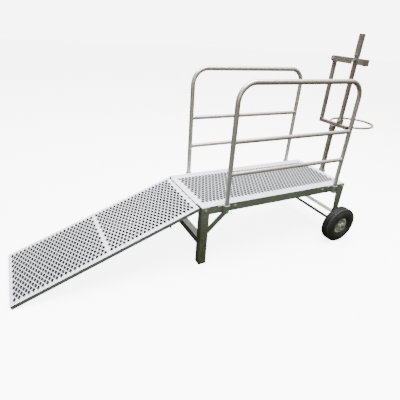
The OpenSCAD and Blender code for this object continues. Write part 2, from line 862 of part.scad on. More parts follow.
module mast() {
    foot = deck_top - mast_below;
    color(gate_colour) stand() translate([gate_x, 0, foot])
        square_pipe(mast_w, mast_wall, cross_z - cross_w / 2 - foot);
}

// Draws at the gate's plane: X across the bars' thickness, Y along the crossbar
module on_gate() {
    stand() translate([gate_x, 0, 0]) children();
}

module gate_crossbar() {
    color(gate_colour) on_gate() difference() {
        union() {
            translate([0, 0, cross_z]) rotate([90, 0, 0]) linear_extrude(cross_len, center = true)
                difference() {
                    square(cross_w, center = true);
                    square(cross_w - 2 * gate_wall, center = true);
                }
            translate([0, 0, cross_z - cross_w / 2 - sleeve_len])
                square_pipe(sleeve_w, sleeve_wall, sleeve_len);
            for (x = [-cross_w / 2 - ear_plate_t, cross_w / 2]) plate_yz(x, ear_plate_t) pivot_ear();
        }
        at_pivot() cylinder(d = bolt_d + 2 * bolt_play, h = 2 * cross_w, center = true);
    }
}

// The outline of an ear that carries the moving upright's pivot
module pivot_ear() {
    low = cross_z - cross_w / 2;
    translate([moving_y - ear_plate_r, low]) square([2 * ear_plate_r, pivot_z - low]);
    translate([moving_y, pivot_z]) circle(r = ear_plate_r);
}

module at_pivot() {
    translate([0, moving_y, pivot_z]) rotate([0, 90, 0]) children();
}

module fixed_upright() {
    top = latch_z + bar_w / 2;
    color(gate_colour) on_gate() difference() {
        translate([0, fixed_y, cross_top]) square_pipe(bar_w, gate_wall, top - cross_top);
        at_latch() cylinder(d = bolt_d + 2 * bolt_play, h = 2 * bar_w, center = true);
        at_base_bolts() cylinder(d = base_bolt_d + 2 * bolt_play, h = 2 * bar_w, center = true);
    }
}

module at_latch() {
    translate([0, fixed_y, latch_z]) rotate([0, 90, 0]) children();
}

module at_base_bolts() {
    for (up = base_bolt_up) translate([0, fixed_y, cross_top + up]) rotate([0, 90, 0]) children();
}

// A bolt across the gate with its head towards the deck, at a distance face from the gate's plane
module gate_bolt(d, face, grip) {
    translate([0, 0, -face]) mirror([0, 0, 1]) bolt(d, grip + nut_h * d + tail);
    translate([0, 0, grip - face]) mirror([0, 0, 1]) nut(d);
}

// Bolts of the fixed upright, of the latch with its spacer, and of the moving upright's pivot
module gate_bolts() {
    latch_out = latch_face + latch_t + axial_play;
    ear_out = cross_w / 2 + ear_plate_t;
    color(bright_colour) on_gate() {
        at_base_bolts() gate_bolt(base_bolt_d, bar_w / 2, bar_w);
        at_latch() gate_bolt(bolt_d, latch_out, latch_out + bar_w / 2);
        at_latch() translate([0, 0, -latch_face + axial_play])
            pipe(2 * bolt_d, bolt_d / 2 - run_fit, latch_face - axial_play - bar_w / 2);
        at_pivot() gate_bolt(bolt_d, ear_out, 2 * ear_out);
    }
}

module feed_ring() {
    near_x = ring_out - ring_d / 2;
    color(gate_colour) on_gate() translate([0, 0, ring_z]) {
        translate([ring_out, 0, 0]) rotate_extrude($fn = 96) translate([ring_d / 2, 0])
            circle(d = ring_bar_d, $fn = hole_fn);
        slab([cross_w / 2, -ring_tongue_wid / 2, -ring_tongue_t / 2],
             [near_x, ring_tongue_wid / 2, ring_tongue_t / 2]);
    }
}

module moving_upright() {
    color(gate_colour) on_gate() difference() {
        translate([0, moving_y, bar_foot]) square_pipe(bar_w, gate_wall, grip_z - grip_cap - bar_foot);
        at_pivot() cylinder(d = bolt_d + 2 * run_fit, h = 2 * bar_w, center = true);
        at_latch_pin() cylinder(d = bolt_d + 2 * bolt_play, h = 2 * bar_w, center = true);
        at_grip_bolt() cylinder(d = grip_bolt_d + 2 * bolt_play, h = 2 * grip_w, center = true);
    }
}

// The wider sleeve over the moving upright's top, closed at its upper end
module upright_grip() {
    color(gate_colour) on_gate() difference() {
        translate([0, moving_y, grip_foot]) linear_extrude(grip_z - grip_foot) square(grip_w, center = true);
        translate([0, moving_y, grip_foot - 1]) linear_extrude(grip_z - grip_cap - grip_foot + 1)
            square(bar_w + 2 * weld_gap, center = true);
        at_grip_bolt() cylinder(d = grip_bolt_d + 2 * bolt_play, h = 2 * grip_w, center = true);
    }
}

module at_latch_pin() {
    translate([0, moving_y, latch_pin_z]) rotate([0, 90, 0]) children();
}

module at_grip_bolt() {
    translate([0, moving_y, grip_foot + grip_bolt_up]) rotate([0, 90, 0]) children();
}

module upright_bolts() {
    pin_out = latch_face + latch_t + 2 * axial_play;
    color(bright_colour) on_gate() {
        at_latch_pin() gate_bolt(bolt_d, pin_out, pin_out + bar_w / 2);
        at_grip_bolt() gate_bolt(grip_bolt_d, grip_w / 2, grip_w);
    }
}

module latch() {
    out = -latch_face - latch_t;
    color(gate_colour) on_gate() {
        plate_yz(out, latch_t) difference() {
            union() {
                translate([latch_end_y, latch_under]) square([latch_len, latch_h]);
                translate([fixed_y, latch_z]) circle(d = latch_h);
            }
            translate([moving_y - notch_far, latch_under - 1])
                square([notch_far + notch_near, notch_top - latch_under + 1]);
            translate([fixed_y, latch_z]) circle(d = bolt_d + 2 * run_fit);
        }
        slab([out - latch_tab, latch_end_y, latch_under], [out, latch_end_y + latch_t, latch_under + latch_h]);
    }
}

// One line per node

deck_plate();
side_rail(right);  // right_side_rail
side_rail(left);  // left_side_rail
front_end_rail();
rear_end_rail();
deck_bearers();
front_leg(right);  // right_front_leg
front_leg(left);  // left_front_leg
front_cross_member();
front_brace(right);  // right_front_brace
front_brace(left);  // left_front_brace
rear_leg(right);  // right_rear_leg
rear_leg(left);  // left_rear_leg
rear_cross_member();
frame_bolts();
frame_nuts();
frame_washers();
axle();
axle_spacers();
axle_pins();
tyre(right);  // right_tyre
rim_outer(right);  // right_rim_outer
rim_inner(right);  // right_rim_inner
hub(right);  // right_hub
bearings(right);  // right_bearings
rim_bolts(right);  // right_rim_bolts
tyre(left);  // left_tyre
rim_outer(left);  // left_rim_outer
rim_inner(left);  // left_rim_inner
hub(left);  // left_hub
bearings(left);  // left_bearings
rim_bolts(left);  // left_rim_bolts
rail_sockets(right);  // right_rail_sockets
rail_sockets(left);  // left_rail_sockets
rail_hoop(right);  // right_rail_hoop
rail_bar(right, mid_bar);  // right_rail_mid_bar
rail_bar(right, low_bar);  // right_rail_low_bar
rail_hoop(left);  // left_rail_hoop
rail_bar(left, mid_bar);  // left_rail_mid_bar
rail_bar(left, low_bar);  // left_rail_low_bar
deck_hinge_leaf();
hinge_pin();
ramp_hinge_leaf();
ramp_plate();
ramp_side(right);  // right_ramp_side
ramp_side(left);  // left_ramp_side
ramp_top_bar();
ramp_centre_bar();
ramp_toe_bar();
mast_socket();
mast_lock_screw();
mast();
gate_crossbar();
fixed_upright();
gate_bolts();
feed_ring();
moving_upright();
upright_grip();
upright_bolts();
latch();
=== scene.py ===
# %% [markdown]
# # A goat milking stand in galvanised steel
# The real thing is a wheeled platform of bolted and welded steel: a perforated deck, a hinged
# ramp, two lift-out side rails and a head gate with a ring for the feed bucket. All its solids
# come from a packed construction model. This lesson gives them their finishes, adds the tyres'
# tread, the lips of the sheets' openings and the weld beads that the solids leave out, and sets
# up a plain studio around them.

# %% Load the construction model
import math

import bmesh
import bpy
from mathutils import Matrix, Vector


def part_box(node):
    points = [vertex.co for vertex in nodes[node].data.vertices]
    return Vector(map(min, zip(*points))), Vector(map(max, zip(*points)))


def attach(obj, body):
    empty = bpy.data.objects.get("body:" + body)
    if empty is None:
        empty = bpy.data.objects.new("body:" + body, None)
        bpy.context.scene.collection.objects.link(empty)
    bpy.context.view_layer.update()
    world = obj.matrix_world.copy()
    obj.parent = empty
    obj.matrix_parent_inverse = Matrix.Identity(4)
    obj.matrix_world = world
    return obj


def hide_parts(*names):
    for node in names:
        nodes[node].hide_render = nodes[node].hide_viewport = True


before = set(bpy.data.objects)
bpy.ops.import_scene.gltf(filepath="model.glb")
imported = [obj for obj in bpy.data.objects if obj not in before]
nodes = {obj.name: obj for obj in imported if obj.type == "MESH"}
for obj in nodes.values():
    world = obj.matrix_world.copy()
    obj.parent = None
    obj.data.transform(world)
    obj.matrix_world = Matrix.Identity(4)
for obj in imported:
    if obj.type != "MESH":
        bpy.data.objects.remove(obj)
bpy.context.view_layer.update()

# %% [markdown]
# ## The camera
# The picture was taken from beside the ramp's foot, a little above the side rails, with a wide
# lens held slightly askew. Guessing such a view by eye takes many tries. Here the place, angles
# and focal length were solved from corners that can be recognised both on the object and in the
# picture, and are written down as numbers. A camera looks along its own -Z axis, so its rotation
# is built from three directions: across the picture, up the picture, and backwards.

# %% Camera
PICTURE = 400
FOCAL_LENGTH = 343.398
OPTICAL_CENTRE = (201.163, 213.775)
SENSOR_WIDTH = 36.0
CAMERA_PLACE = Vector((-1.064450, -1.789080, 1.338841))
TURN_TILT_ROLL = (-28.524, 28.984, 4.207)
turn, tilt, roll = (math.radians(degrees) for degrees in TURN_TILT_ROLL)

back = Vector((math.sin(turn) * math.cos(tilt), -math.cos(turn) * math.cos(tilt), math.sin(tilt)))
level = (-back).cross(Vector((0, 0, 1))).normalized()
rise = level.cross(-back)
across = level * math.cos(roll) + rise * math.sin(roll)
upward = rise * math.cos(roll) - level * math.sin(roll)
attitude = Matrix((across, upward, back)).transposed().to_4x4()

lens = bpy.data.cameras.new("camera")
lens.sensor_width = SENSOR_WIDTH
lens.lens = FOCAL_LENGTH / PICTURE * SENSOR_WIDTH
lens.shift_x = (PICTURE / 2 - OPTICAL_CENTRE[0]) / PICTURE
lens.shift_y = (OPTICAL_CENTRE[1] - PICTURE / 2) / PICTURE
camera = bpy.data.objects.new("camera", lens)
camera.matrix_world = Matrix.Translation(CAMERA_PLACE) @ attitude
bpy.context.scene.collection.objects.link(camera)
bpy.context.scene.camera = camera
print("camera:", [round(v, 3) for v in camera.location], "lens", round(lens.lens, 1), "mm")

# %% [markdown]
# ## Small tools
# Colours are easiest to pick as the hex values of a paint chart, but light adds up in linear
# values, so one function turns the first into the second. Finishes are networks of nodes. One
# function adds a node, sets its properties, and either sets or links each of its sockets. The
# short ones after it call it for what is needed most: a smooth step, a straight map, a mix of
# two colours and a noise.

# %% Colour and node helpers
def linear(hex_colour):
    """Turns an sRGB hex colour into linear red, green, blue and alpha."""
    parts = [int(hex_colour[i:i + 2], 16) / 255 for i in (1, 3, 5)]
    return [c / 12.92 if c <= 0.04045 else ((c + 0.055) / 1.055) ** 2.4 for c in parts] + [1.0]


def find(sockets, key):
    """The first socket with this identifier or name."""
    return next(s for s in sockets if key in (s.identifier, s.name))


def add(tree, kind, feeds, **settings):
    """Adds a node. A feed is a value for a socket, or a pair of a node and its output's name."""
    node = tree.nodes.new(kind)
    for key, value in settings.items():
        setattr(node, key, value)
    for key, value in feeds.items():
        target = find(node.inputs, key)
        if isinstance(value, tuple) and isinstance(value[0], bpy.types.Node):
            tree.links.new(find(value[0].outputs, value[1]), target)
        else:
            target.default_value = value
    return node


def new_finish(name):
    """An empty finish and its network of nodes."""
    finish = bpy.data.materials.new(name)
    finish.use_nodes = True
    finish.node_tree.nodes.clear()
    return finish, finish.node_tree


def fade(tree, value, span, most=1.0):
    """A smooth step from 0 to the most, while a value passes through a span."""
    return add(tree, "ShaderNodeMapRange", {
        "Value": value, "From Min": span[0], "From Max": span[1], "To Max": most},
        interpolation_type="SMOOTHSTEP")


def stretch(tree, value, to, span=(0.0, 1.0)):
    """A straight map from one span of values to another."""
    return add(tree, "ShaderNodeMapRange", {
        "Value": value, "From Min": span[0], "From Max": span[1], "To Min": to[0], "To Max": to[1]})


def blend(tree, factor, first, second, **settings):
    """A mix of two colours."""
    return add(tree, "ShaderNodeMix", {
        "Factor_Float": factor, "A_Color": first, "B_Color": second}, data_type="RGBA", **settings)


def noise(tree, place, size_mm, detail, roughness=0.5):
    """A noise in the piece's own space, with clouds about this many millimetres across."""
    return add(tree, "ShaderNodeTexNoise", {
        "Vector": (place, "Object"), "Scale": 1000 / size_mm, "Detail": detail,
        "Roughness": roughness})


print("mid grey in linear light:", round(linear("#808080")[0], 3))

# %% [markdown]
# ## Making a piece
# Tyres, lips and weld beads are all swept: rings of points, and a band of four-sided faces
# between each ring and the next. One function lists the faces of such a band. Another makes the
# piece: it turns all faces outwards, keeps edges sharp above an angle, and lets the piece ride
# on the body that carries it.

# %% Piece helpers
def band(here, there, count):
    """Faces between two rings of points, from the number of each ring's first point."""
    turns = [(i, (i + 1) % count) for i in range(count)]
    return [(here + i, there + i, there + j, here + j) for i, j in turns]


def link_piece(name, points, faces, finish, body, sharp_above):
    """Makes one mesh object of these points and faces, and lets it ride on a body."""
    mesh = bpy.data.meshes.new(name)
    mesh.from_pydata(points, [], faces)
    form = bmesh.new()
    form.from_mesh(mesh)
    bmesh.ops.recalc_face_normals(form, faces=form.faces)
    form.to_mesh(mesh)
    form.free()
    mesh.shade_smooth()
    mesh.set_sharp_from_angle(angle=math.radians(sharp_above))
    mesh.materials.append(finish)
    piece = bpy.data.objects.new(name, mesh)
    bpy.context.scene.collection.objects.link(piece)
    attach(piece, body)
    return piece


print("faces between two rings of three points:", band(0, 3, 3))

# %% [markdown]
# ## Hot-dip galvanised steel
# Nearly every piece here was welded up and then dipped in molten zinc. The zinc freezes in
# crystals, the spangle, whose facets are a little lighter or darker than their neighbours, and
# goes chalky where it weathers. On top of that the colour carries painted light. Faces that look
# up are painted lighter, a painted highlight of a bright sky. Faces that look sideways or down
# are painted darker green and brown, as painted shade and a painted reflection of dark turf.
# A painted picture could show all that, but it would need unwrapping and has a fixed sharpness.
# Here it is drawn by nodes in the metal's own space, so it follows the piece when a joint moves.
# - The direction of a face and its height choose between four colours.
# - A cell pattern 9 mm across is the spangle. Real spangle on thin sheet is about half of that,
#   and is drawn coarser here so that it still shows in a small picture.
# - Soft clouds 70 mm across are the chalky bloom. They change the roughness and the colour.
# - A grain of 3 mm gives the slightly uneven zinc skin as a bump.

# %% Galvanised steel
SPANGLE_MM = 9.0
BLOOM_MM = 70.0
GRAIN_MM = 3.0
SKYWARD = (0.2, 0.85)
DOWNWARD = (-0.1, -0.7)
CHALKY_AT = (0.45, 0.75)
DULLER_AT = (0.3, 0.7)
CHALK = "#9AA09A"


def galvanised(name, sky, side, low_side, under, heights=(0.05, 0.5), shine=(0.34, 0.5), metal=0.6,
               facets=0.84, chalky=0.2, gleam=0.5):
    """Zinc on steel with painted light: colours for faces up, sideways high and low, and down."""
    finish, tree = new_finish(name)
    place = add(tree, "ShaderNodeTexCoord", {})
    facing = add(tree, "ShaderNodeSeparateXYZ", {"Vector": (place, "Normal")})
    point = add(tree, "ShaderNodeSeparateXYZ", {"Vector": (place, "Object")})
    high = fade(tree, (point, "Z"), heights)
    # Painted light: a painted highlight on faces towards the sky, painted shade on faces turned
    # down.
    open_up = fade(tree, (facing, "Z"), SKYWARD)
    turned_down = fade(tree, (facing, "Z"), DOWNWARD)
    flank = blend(tree, (high, "Result"), linear(low_side), linear(side))
    sky_highlighted = blend(tree, (open_up, "Result"), (flank, "Result_Color"), linear(sky))
    shaded = blend(tree, (turned_down, "Result"), (sky_highlighted, "Result_Color"), linear(under))

    spangle = add(tree, "ShaderNodeTexVoronoi", {
        "Vector": (place, "Object"), "Scale": 1000 / SPANGLE_MM, "Randomness": 1.0})
    facet = add(tree, "ShaderNodeSeparateColor", {"Color": (spangle, "Color")})
    facet_light = stretch(tree, (facet, "Red"), (facets, 1.0))
    spangled = blend(tree, 1.0, (shaded, "Result_Color"), (facet_light, "Result"),
                     blend_type="MULTIPLY")

    bloom = noise(tree, place, BLOOM_MM, detail=5.0, roughness=0.6)
    chalk = fade(tree, (bloom, "Fac"), CHALKY_AT, chalky)
    bloomed = blend(tree, (chalk, "Result"), (spangled, "Result_Color"), linear(CHALK))
    gloss = stretch(tree, (bloom, "Fac"), shine, DULLER_AT)

    grain = noise(tree, place, GRAIN_MM, detail=3.0)
    skin = add(tree, "ShaderNodeBump", {
        "Height": (grain, "Fac"), "Strength": 0.25, "Distance": 0.0004})
    metal_shader = add(tree, "ShaderNodeBsdfPrincipled", {
        "Base Color": (bloomed, "Result_Color"), "Metallic": metal, "Roughness": (gloss, "Result"),
        "Specular IOR Level": gleam, "Normal": (skin, "Normal")})
    add(tree, "ShaderNodeOutputMaterial", {"Surface": (metal_shader, "BSDF")})
    return finish


# Perforated sheets: near white on top. Their sideways faces, the edges and walls of the openings,
# are near black as painted shade.
sheet_zinc = galvanised(
    "galvanised_perforated_sheet", "#F5F4FF", "#191A1C", "#191A18", "#6E726C",
    shine=(0.42, 0.58), metal=0.15, facets=0.95, chalky=0.04)
# Rails, sockets, legs and braces: a pale top as painted highlight, olive flanks and undersides as
# painted shade and a painted reflection of turf.
angle_zinc = galvanised(
    "weathered_galvanised_angle", "#C9CAC6", "#717971", "#4A4E37", "#44472F",
    shine=(0.4, 0.56), metal=0.55)
# Members under the sheets: near black on top as well, painted shade from the sheet over them.
hidden_zinc = galvanised(
    "galvanised_angle_in_painted_shade", "#1B1D1B", "#4A5048", "#454934", "#3A3D2E",
    shine=(0.6, 0.8), metal=0.1, chalky=0.04, gleam=0.15)
# Ramp side bars: near black on top, painted shade from the sheet over them, and lighter sides.
ramp_zinc = galvanised(
    "galvanised_ramp_edge", "#303434", "#6E7073", "#626567", "#52554E",
    heights=(0.0, 0.1), shine=(0.4, 0.56), metal=0.55)
# Front cross member: a pale top flange as painted highlight, a dark web and underside as painted
# shade.
front_cross_zinc = galvanised(
    "galvanised_front_cross_member", "#E2E0DB", "#5E6152", "#4E513E", "#3A3C2E", metal=0.45)
# Rear cross member: pale, with a paler top as painted highlight and a darker underside as painted
# shade.
rear_cross_zinc = galvanised(
    "pale_galvanised_rear_cross_member", "#F3EDE6", "#A8A49C", "#98948A", "#6A685C",
    metal=0.25, facets=0.92)
# Rail tubes: a pinkish-white top as painted highlight from the sky, a brown underside as painted
# shade.
tube_zinc = galvanised(
    "galvanised_rail_tube", "#D8CCC5", "#9C948C", "#9FA29D", "#75695E",
    heights=(0.45, 1.0), shine=(0.3, 0.44), metal=0.7, facets=0.93)
# Head gate: a pale top as painted highlight, a darker underside as painted shade.
gate_zinc = galvanised(
    "weathered_galvanised_gate_tube", "#B9ADA5", "#6C625A", "#60654F", "#4C443C",
    heights=(0.45, 0.8), metal=0.5, facets=0.93)
print("galvanised finishes:", [m.name for m in bpy.data.materials if "galvanised" in m.name])

# %% [markdown]
# ## Zinc-plated fasteners, the rolled axle and the silver rims
# Bolts, nuts and pins are plated in a bath, which leaves a thinner, brighter zinc than dipping:
# a light metal with small dull spots. The axle is a bare rolled bar, dark under old oil. The
# rims are pressed from sheet and sprayed silver, which is metal flakes under a clear lacquer, so
# they get a thin coat. Each has a noise for its spots, so none is one flat colour.

# %% Fasteners, axle and rims
SPOTS_AT = (0.42, 0.68)


def spotted_metal(name, clean, spots, spot_mm, shine, metal, coat=0.0):
    """A metal finish with spots of another colour that are also duller."""
    finish, tree = new_finish(name)
    place = add(tree, "ShaderNodeTexCoord", {})
    clouds = noise(tree, place, spot_mm, detail=4.0, roughness=0.65)
    cover = fade(tree, (clouds, "Fac"), SPOTS_AT)
    colour = blend(tree, (cover, "Result"), linear(clean), linear(spots))
    gloss = stretch(tree, (cover, "Result"), shine)
    skin = add(tree, "ShaderNodeBump", {
        "Height": (clouds, "Fac"), "Strength": 0.15, "Distance": 0.0003})
    metal_shader = add(tree, "ShaderNodeBsdfPrincipled", {
        "Base Color": (colour, "Result_Color"), "Metallic": metal, "Roughness": (gloss, "Result"),
        "Coat Weight": coat, "Normal": (skin, "Normal")})
    add(tree, "ShaderNodeOutputMaterial", {"Surface": (metal_shader, "BSDF")})
    return finish


plated_zinc = spotted_metal(
    "zinc_plated_fasteners", "#D9D9D4", "#A9A89C", spot_mm=6.0, shine=(0.25, 0.45), metal=0.85)
oiled_bar = spotted_metal(
    "rolled_axle_steel_oiled", "#6A6E57", "#4E523C", spot_mm=25.0, shine=(0.4, 0.55), metal=0.6)
silver_coat = spotted_metal(
    "silver_sprayed_pressed_steel", "#D3D5CF", "#A7A99C", spot_mm=30.0, shine=(0.28, 0.45),
    metal=0.6, coat=0.4)
print("spotted metals:", plated_zinc.name, oiled_bar.name, silver_coat.name)

# %% [markdown]
# ## Moulded tyre rubber
# Rubber filled with soot is a dark plastic-like surface with an IOR of about 1.52. It is never
# quite black: field dust sits in its pores, mostly in clouds about 40 mm across, and a fine
# moulded grain breaks up the highlight.

# %% Tyre rubber
DUST_MM = 40.0
PORE_MM = 1.5
DUSTY_AT = (0.4, 0.75)
RUBBER_SHINE = (0.55, 0.8)
RUBBER_IOR = 1.52
moulded_rubber, tree = new_finish("moulded_black_rubber")
place = add(tree, "ShaderNodeTexCoord", {})
dust = noise(tree, place, DUST_MM, detail=5.0, roughness=0.6)
cover = fade(tree, (dust, "Fac"), DUSTY_AT)
colour = blend(tree, (cover, "Result"), linear("#070707"), linear("#15160F"))
gloss = stretch(tree, (cover, "Result"), RUBBER_SHINE)
pores = noise(tree, place, PORE_MM, detail=2.0)
skin = add(tree, "ShaderNodeBump", {
    "Height": (pores, "Fac"), "Strength": 0.3, "Distance": 0.0003})
rubber_shader = add(tree, "ShaderNodeBsdfPrincipled", {
    "Base Color": (colour, "Result_Color"), "Roughness": (gloss, "Result"), "IOR": RUBBER_IOR,
    "Normal": (skin, "Normal")})
add(tree, "ShaderNodeOutputMaterial", {"Surface": (rubber_shader, "BSDF")})
print("rubber nodes:", len(tree.nodes))

# %% [markdown]
# ## Giving each solid its finish
# The solids keep their shapes, so only the material in their slots changes. A list per finish
# says which pieces take it. Several of these finishes differ mainly in painted light, such as
# the near-black tops of the members that lie in shade under the sheets. The two perforated
# sheets follow later, when the places of their openings are known.

# %% Finishes on the solids
FINISHES = [
    (sheet_zinc, ["deck_hinge_leaf", "ramp_hinge_leaf"]),
    (angle_zinc, [
        "right_side_rail", "left_side_rail", "right_rail_sockets", "left_rail_sockets",
        "right_front_leg", "left_front_leg", "right_front_brace", "left_front_brace",
        "right_rear_leg", "left_rear_leg"]),
    (hidden_zinc, [
        "front_end_rail", "rear_end_rail", "deck_bearers", "ramp_top_bar", "ramp_centre_bar",
        "ramp_toe_bar"]),
    (front_cross_zinc, ["front_cross_member"]),
    (rear_cross_zinc, ["rear_cross_member"]),
    (ramp_zinc, ["right_ramp_side", "left_ramp_side"]),
    (tube_zinc, [
        "right_rail_hoop", "right_rail_mid_bar", "right_rail_low_bar", "left_rail_hoop",
        "left_rail_mid_bar", "left_rail_low_bar"]),
    (gate_zinc, [
        "mast_socket", "mast", "gate_crossbar", "fixed_upright", "feed_ring", "moving_upright",
        "upright_grip", "latch"]),
    (plated_zinc, [
        "frame_bolts", "frame_nuts", "frame_washers", "axle_pins", "hinge_pin", "mast_lock_screw",
        "gate_bolts", "upright_bolts"]),
    (oiled_bar, [
        "axle", "axle_spacers", "right_bearings", "left_bearings", "right_rim_bolts",
        "left_rim_bolts"]),
    (silver_coat, [
        "right_rim_outer", "right_rim_inner", "right_hub", "left_rim_outer", "left_rim_inner",
        "left_hub"]),
    (moulded_rubber, ["right_tyre", "left_tyre"]),
]


def dress(name, finish):
    """Puts a finish into the slots of a solid."""
    for slot in nodes[name].material_slots:
        slot.material = finish


for finish, names in FINISHES:
    for name in names:
        dress(name, finish)
print("dressed solids:", sum(len(names) for finish, names in FINISHES), "of", len(nodes))

# %% [markdown]
# ## The tyres
# A small pneumatic tyre is a fat round section with a flatter tread: ribs that run round it, and
# shoulder blocks cut by short slots. Cutting the slots with booleans would be slow and messy.
# A tyre is the same all the way round, so its outline can be swept round the axle, and the slots
# appear where every few steps of the sweep run a little lower. A point of the outline has three
# numbers: its radius, its offset along the axle, and 1 if the slots cut it, or else 0.

# %% Tyres
SECTION_RADIUS = 0.0425
CASING_RADIUS = 0.0335
SIDEWALL_DEGREES = range(130, 50, -6)
CASING_DEGREES = range(-140, 141, 20)
SIDE_RIB = 0.0008
SIDE_RIB_DEGREES = (106, 100)
RIM_SEAT = [(0.0523, 0.0172, 0), (0.0523, 0.0217, 0), (0.0586, 0.0217, 0), (0.0588, 0.0290, 0)]
SHOULDER = [
    (0.1165, 0.0322, 0), (0.1185, 0.0318, 1), (0.1235, 0.0305, 1), (0.1270, 0.0288, 1),
    (0.1288, 0.0262, 1), (0.1294, 0.0220, 1), (0.1297, 0.0180, 1), (0.1297, 0.0172, 0)]
RIB_GROOVES = (0.013, 0.0, -0.013)
GROOVE_HALF = 0.002
GROOVE_FLOOR = 0.7
GROOVE_DEPTH = 0.004
SLOT_DEPTH = 0.0035
SLOTS = 44
STEPS_PER_SLOT = 6
SLOT_STEPS = 2
TYRE_EDGE = 32


def tyre_outline(outer):
    """The tyre's section: one side, the tread, the other side and the inside."""
    middle = outer - SECTION_RADIUS
    half = list(RIM_SEAT)
    for degrees in SIDEWALL_DEGREES:
        a = math.radians(degrees)
        reach = SECTION_RADIUS + (SIDE_RIB if degrees in SIDE_RIB_DEGREES else 0.0)
        half.append((middle + reach * math.cos(a), reach * math.sin(a), 0))
    half += SHOULDER
    tread = []
    for groove in RIB_GROOVES:
        for side, deep in ((1, 0), (GROOVE_FLOOR, 1), (-GROOVE_FLOOR, 1), (-1, 0)):
            tread.append((outer - deep * GROOVE_DEPTH, groove + side * GROOVE_HALF, 0))
    other = [(r, -y, s) for r, y, s in reversed(half)]
    inside = []
    for degrees in CASING_DEGREES:
        a = math.radians(degrees)
        inside.append((middle + CASING_RADIUS * math.cos(a), CASING_RADIUS * math.sin(a), 0))
    return half + tread + other + inside


def make_tyre(name, node, body):
    """Sweeps the outline round a wheel's axle, in place of the plain tyre."""
    low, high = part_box(node)
    centre = (low + high) / 2
    outline = tyre_outline((high.z - low.z) / 2)
    steps, count = SLOTS * STEPS_PER_SLOT, len(outline)
    points, faces = [], []
    for k in range(steps):
        angle = 2 * math.pi * k / steps
        cut = SLOT_DEPTH if k % STEPS_PER_SLOT < SLOT_STEPS else 0.0
        for radius, offset, share in outline:
            r = radius - share * cut
            points.append(centre + Vector((r * math.cos(angle), offset, r * math.sin(angle))))
        faces += band(k * count, (k + 1) % steps * count, count)
    tyre = link_piece(name, points, faces, moulded_rubber, body, TYRE_EDGE)
    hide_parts(node)
    return tyre


tyres = [make_tyre(side + "_treaded_tyre", side + "_tyre", side + "_wheel")
         for side in ("right", "left")]
print("tyres:", [(t.name, len(t.data.polygons)) for t in tyres])

# %% [markdown]
# ## The lips of the openings
# Deck and ramp are sheets with rows of diamond openings, each row shifted by half a pitch. Round
# an opening the sheet is drawn down into a short funnel, which stiffens it and is kind to hooves.
# On grass the openings look nearly black, since they show the ground in shade under the sheet.
# The inner walls of the lips are near black, a painted shade that stands in for that dark ground;
# on a pale studio floor the openings would shine white if the lips were left out.
# There are over a thousand of them. An object for each would make the file slow, so all lips of
# a sheet are points and faces of one mesh: a four-sided frame, repeated at every opening. Their
# places are worked out from the pitch. Over a bar there is no room for a lip, so the outline of
# an opening that reaches over one is cut off at the bar's edge. The ramp is drawn level, with
# its hinge at x = 0, and then set on its slope by a matrix.

# %% Places of the openings
OPENING_PITCH = 0.0255
OPENING_RISE = 0.0505
OPENING_HALF = (0.00875, 0.0170)
ROW_STEP = OPENING_RISE / 2
DECK_END_MARGIN = 0.040
DECK_SIDE_MARGIN = 0.068
RAMP_LENGTH = 1.120
RAMP_TOE_MARGIN = 0.026
RAMP_TOP_MARGIN = 0.031
RAMP_SIDE_MARGIN = 0.037
RAMP_STRIP = 0.036
HINGE_TO_SHEET = 0.007


def opening_places(first_x, length, width):
    """Centres of the openings of one field, along x from first_x and about y = 0."""
    rows = int(width / ROW_STEP)
    half_steps = int(2 * length / OPENING_PITCH)
    start = first_x + (length - half_steps * OPENING_PITCH / 2) / 2
    places = []
    for row in range(rows + 1):
        y, odd = (row - rows / 2) * ROW_STEP, row % 2
        for column in range((half_steps - odd) // 2 + 1):
            places.append((start + (column + odd / 2) * OPENING_PITCH, y))
    return places


deck_low, deck_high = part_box("deck_plate")
deck_openings = opening_places(
    deck_low.x + DECK_END_MARGIN, deck_high.x - deck_low.x - 2 * DECK_END_MARGIN,
    deck_high.y - deck_low.y - 2 * DECK_SIDE_MARGIN)
ramp_low, ramp_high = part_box("ramp_plate")
panel = (RAMP_LENGTH - HINGE_TO_SHEET - RAMP_TOP_MARGIN - RAMP_TOE_MARGIN - RAMP_STRIP) / 2
ramp_width = ramp_high.y - ramp_low.y - 2 * RAMP_SIDE_MARGIN
lower_field = opening_places(-RAMP_LENGTH + RAMP_TOE_MARGIN, panel, ramp_width)
upper_field = opening_places(-HINGE_TO_SHEET - RAMP_TOP_MARGIN - panel, panel, ramp_width)
print("openings in the deck:", len(deck_openings), "in the ramp:", len(lower_field + upper_field))

# %% Outlines of the lips
BAR_ROOM = 0.001
LEAST_LIP = 0.0015
BEARER = 0.040
TOE_BAR = (-1.112, -1.092)
CENTRE_BAR = (-0.5735, -0.5535)
HINGE_LEAF = (-0.030, 0.0)


def cut_off(outline, limit, way):
    """The part of a flat outline beyond a limit in x (way = 1) or before it (way = -1)."""
    kept = []
    for (x0, y0), (x1, y1) in zip(outline, outline[1:] + outline[:1]):
        here, there = (x0 - limit) * way >= 0, (x1 - limit) * way >= 0
        if here:
            kept.append((x0, y0))
        if here != there:
            kept.append((limit, y0 + (limit - x0) / (x1 - x0) * (y1 - y0)))
    return kept


def free_outlines(places, spans):
    """Outlines of the openings, without what lies over the bars that fill these spans of x."""
    a, b = OPENING_HALF
    outlines = []
    for x, y in places:
        parts = [[(x + a, y), (x, y + b), (x - a, y), (x, y - b)]]
        for low, high in spans:
            edges = ((low - BAR_ROOM, -1), (high + BAR_ROOM, 1))
            if x + a > low - BAR_ROOM and x - a < high + BAR_ROOM:
                parts = [cut_off(part, limit, way) for part in parts for limit, way in edges]
        outlines += [part for part in parts
                     if part and max(p[0] for p in part) - min(p[0] for p in part) > LEAST_LIP]
    return outlines


